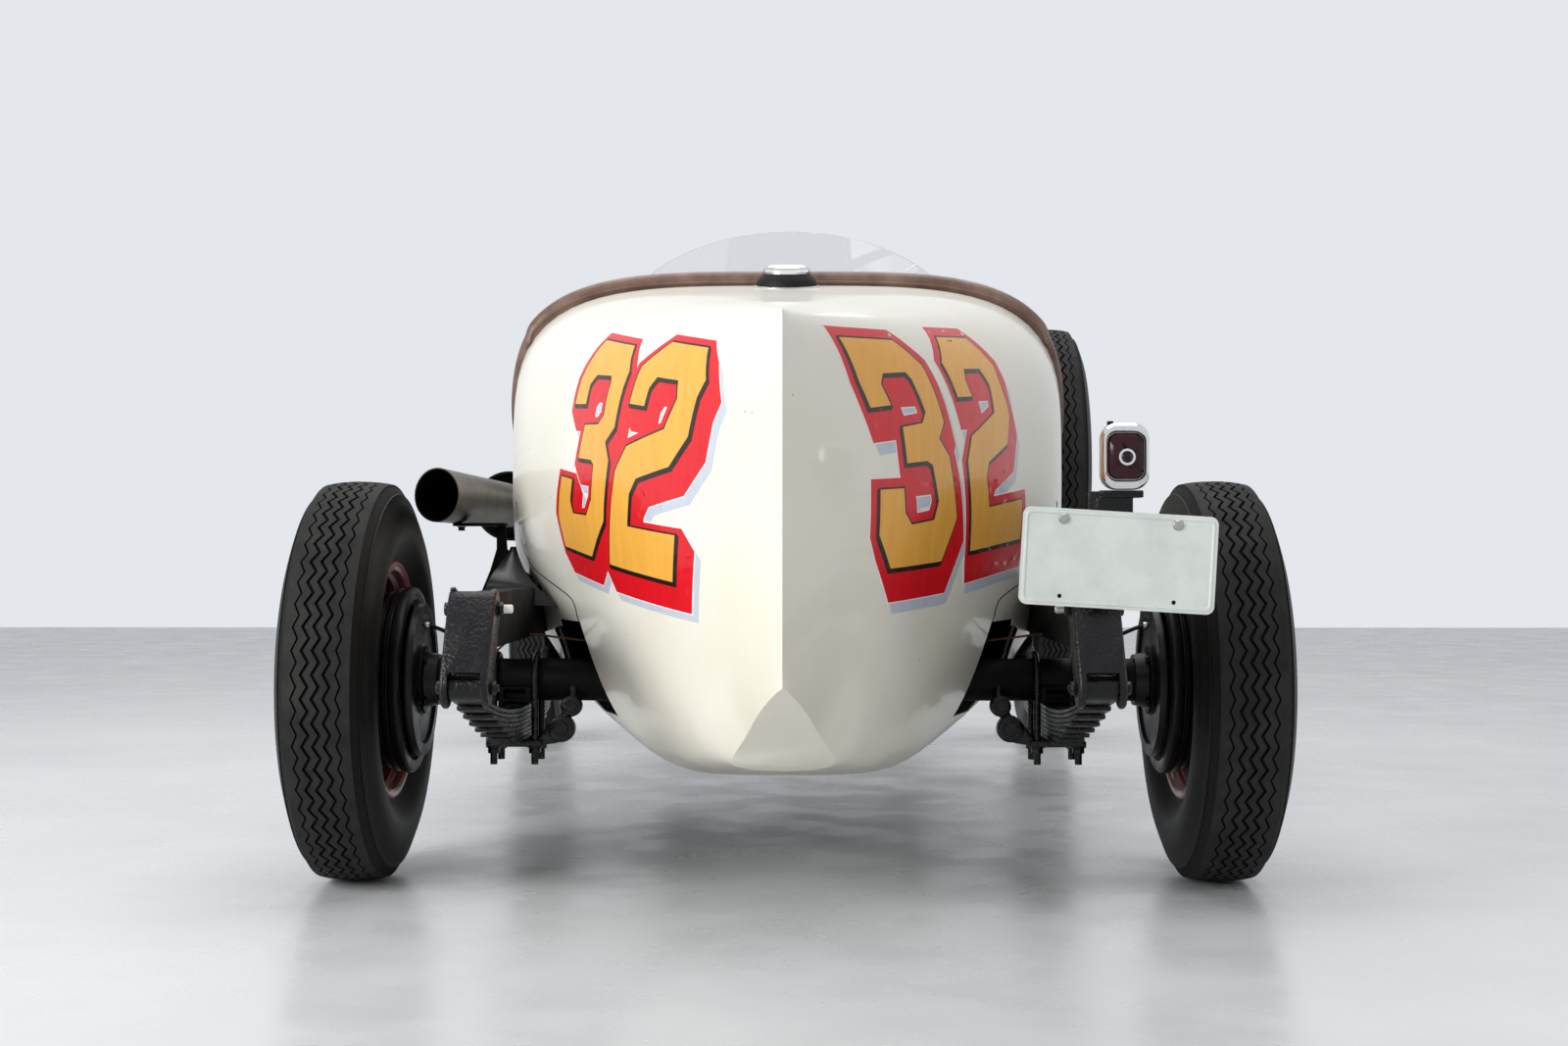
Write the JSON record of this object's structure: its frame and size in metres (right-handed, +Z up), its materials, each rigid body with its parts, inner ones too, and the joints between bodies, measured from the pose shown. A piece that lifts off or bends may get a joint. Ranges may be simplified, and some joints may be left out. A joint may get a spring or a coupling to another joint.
{
  "type": "roadster",
  "caption": "Open two-seat boat-tail roadster on a ladder frame, with disc wheels, leaf springs, a linked steering gear, a side exhaust and a centre-hinged hood.",
  "frame": {"origin": "on the floor, under the middle of the overall length and width", "axes": "+Y forward along the car, +X to the car's right, +Z up"},
  "size_m": [1.726, 3.9, 1.39],
  "materials": {
    "cream_paint": "gloss",
    "black_paint": "satin",
    "red_paint": "gloss",
    "tyre": "matte",
    "brown_leather": "satin",
    "chrome": "polished",
    "acrylic": "clear",
    "grey_iron": "matte",
    "exhaust_steel": "heat-dulled",
    "plate_white": "gloss",
    "black_grip": "gloss"
  },
  "bodies": {
    "chassis": {"body_tub": "cream_paint", "tail": "cream_paint", "hood_side_left": "cream_paint", "hood_side_right": "cream_paint", "radiator": "cream_paint", "coaming": "brown_leather", "windscreen": "acrylic", "seat_cushion": "brown_leather", "seat_back": "brown_leather", "frame": "black_paint", "engine_block": "grey_iron", "rear_axle": "black_paint", "rear_spring_left": "black_paint", "rear_spring_right": "black_paint", "rear_shackle_left": "black_paint", "rear_shackle_right": "black_paint", "front_axle": "black_paint", "front_spring_left": "black_paint", "front_spring_right": "black_paint", "steering_column": "black_paint", "wheel_spare": "red_paint", "tyre_spare": "tyre", "spare_carrier": "black_paint", "exhaust": "exhaust_steel", "exhaust_bracket": "black_paint", "filler_cap": "chrome", "tail_lamp": "chrome", "number_plate": "plate_white", "lamp_bracket": "black_paint", "headlamps": "chrome", "brake_lines": "black_paint"},
    "wheel_rear_left": {"wheel_rear_left": "red_paint", "tyre_rear_left": "tyre"},
    "wheel_rear_right": {"wheel_rear_right": "red_paint", "tyre_rear_right": "tyre"},
    "knuckle_left": {"knuckle_left": "black_paint"},
    "knuckle_right": {"knuckle_right": "black_paint"},
    "wheel_front_left": {"wheel_front_left": "red_paint", "tyre_front_left": "tyre"},
    "wheel_front_right": {"wheel_front_right": "red_paint", "tyre_front_right": "tyre"},
    "tie_rod": {"tie_rod": "black_paint"},
    "pitman_arm": {"pitman_arm": "black_paint"},
    "drag_link": {"drag_link": "black_paint"},
    "steering_wheel": {"steering_wheel": "black_grip"},
    "hood_left": {"hood_left": "cream_paint"},
    "hood_right": {"hood_right": "cream_paint"}
  },
  "joints": [
    {"name": "spin_rear_left", "type": "hinge", "parent": "chassis", "child": "wheel_rear_left", "pos_m": [-0.776, -1.24, 0.36162], "axis": [1, 0, 0], "continuous": true},
    {"name": "spin_rear_right", "type": "hinge", "parent": "chassis", "child": "wheel_rear_right", "pos_m": [0.776, -1.24, 0.36162], "axis": [1, 0, 0], "continuous": true},
    {"name": "steer_left", "type": "hinge", "parent": "chassis", "child": "knuckle_left", "pos_m": [-0.655, 1.5, 0.34369], "axis": [0, 0, 1], "range_deg": [-30, 30]},
    {"name": "steer_right", "type": "hinge", "parent": "chassis", "child": "knuckle_right", "pos_m": [0.655, 1.5, 0.34369], "axis": [0, 0, 1], "range_deg": [-30, 30]},
    {"name": "spin_front_left", "type": "hinge", "parent": "knuckle_left", "child": "wheel_front_left", "pos_m": [-0.79, 1.5, 0.34369], "axis": [1, 0, 0], "continuous": true},
    {"name": "spin_front_right", "type": "hinge", "parent": "knuckle_right", "child": "wheel_front_right", "pos_m": [0.79, 1.5, 0.34369], "axis": [1, 0, 0], "continuous": true},
    {"name": "tie_rod_end", "type": "hinge", "parent": "knuckle_left", "child": "tie_rod", "pos_m": [-0.655, 1.34, 0.2834], "axis": [0, 0, 1], "range_deg": [-30, 30]},
    {"name": "pitman_shaft", "type": "hinge", "parent": "chassis", "child": "pitman_arm", "pos_m": [-0.29, 1.18, 0.3378], "axis": [0, 0, 1], "range_deg": [-30, 30]},
    {"name": "drag_link_end", "type": "hinge", "parent": "pitman_arm", "child": "drag_link", "pos_m": [-0.29, 1.06, 0.3255], "axis": [0, 0, 1], "range_deg": [-30, 30]},
    {"name": "steering_axis", "type": "hinge", "parent": "chassis", "child": "steering_wheel", "pos_m": [-0.28, -0.29, 1], "axis": [0, 0.9425, -0.3342], "range_deg": [-450, 450]},
    {"name": "hood_hinge_left", "type": "hinge", "parent": "chassis", "child": "hood_left", "pos_m": [0, 0.4609, 1.06793], "axis": [0, 0.9985, -0.0551], "range_deg": [0, 70]},
    {"name": "hood_hinge_right", "type": "hinge", "parent": "chassis", "child": "hood_right", "pos_m": [0, 0.4609, 1.06793], "axis": [0, -0.9985, 0.0551], "range_deg": [0, 70]}
  ],
  "couplings": [
    {"joint": "steer_right", "follows": "steer_left", "ratio": 1},
    {"joint": "tie_rod_end", "follows": "steer_left", "ratio": -1},
    {"joint": "pitman_shaft", "follows": "steer_left", "ratio": 1},
    {"joint": "drag_link_end", "follows": "steer_left", "ratio": -1},
    {"joint": "steering_axis", "follows": "steer_left", "ratio": -15}
  ]
}
